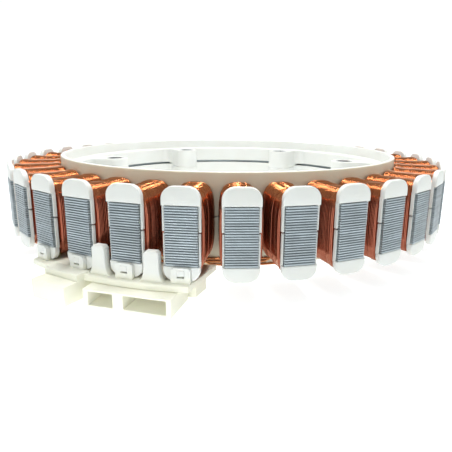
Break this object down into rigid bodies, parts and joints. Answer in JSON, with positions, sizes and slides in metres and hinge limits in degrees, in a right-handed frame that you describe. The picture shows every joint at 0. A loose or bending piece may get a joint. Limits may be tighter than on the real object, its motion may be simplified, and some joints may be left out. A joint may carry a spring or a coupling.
{
  "type": "washing machine motor stator",
  "caption": "Ring stator of a direct-drive washer motor: laminated steel core, moulded insulators, a copper coil on every outward tooth, bolt lugs inside and a clipped sensor base.",
  "frame": {"origin": "on the stator's axis, in the seat plane of the bolt lugs", "axes": "+Z along the axis, away from the seat plane; -Y towards the tooth beside the sensor base"},
  "size_m": [0.2648, 0.2727, 0.0498],
  "materials": {
    "lamination_steel": "satin",
    "insulator_plastic": "satin",
    "enamelled_copper": "enamelled",
    "sensor_plastic": "satin",
    "plated_steel": "plated"
  },
  "bodies": {
    "root": {"lamination_core": "lamination_steel", "upper_insulator": "insulator_plastic", "lower_insulator": "insulator_plastic", "bolt_sleeves": "plated_steel", "crossover_wires": "enamelled_copper", "sensor_base": "sensor_plastic", "connector_housing": "sensor_plastic", "power_contacts": "plated_steel", "sensor_contacts": "plated_steel", "coil_01": "enamelled_copper", "coil_02": "enamelled_copper", "coil_03": "enamelled_copper", "coil_04": "enamelled_copper", "coil_05": "enamelled_copper", "coil_06": "enamelled_copper", "coil_07": "enamelled_copper", "coil_08": "enamelled_copper", "coil_09": "enamelled_copper", "coil_10": "enamelled_copper", "coil_11": "enamelled_copper", "coil_12": "enamelled_copper", "coil_13": "enamelled_copper", "coil_14": "enamelled_copper", "coil_15": "enamelled_copper", "coil_16": "enamelled_copper", "coil_17": "enamelled_copper", "coil_18": "enamelled_copper", "coil_19": "enamelled_copper", "coil_20": "enamelled_copper", "coil_21": "enamelled_copper", "coil_22": "enamelled_copper", "coil_23": "enamelled_copper", "coil_24": "enamelled_copper", "coil_25": "enamelled_copper", "coil_26": "enamelled_copper", "coil_27": "enamelled_copper", "coil_28": "enamelled_copper", "coil_29": "enamelled_copper", "coil_30": "enamelled_copper", "coil_31": "enamelled_copper", "coil_32": "enamelled_copper", "coil_33": "enamelled_copper", "coil_34": "enamelled_copper", "coil_35": "enamelled_copper", "coil_36": "enamelled_copper"}
  },
  "joints": []
}
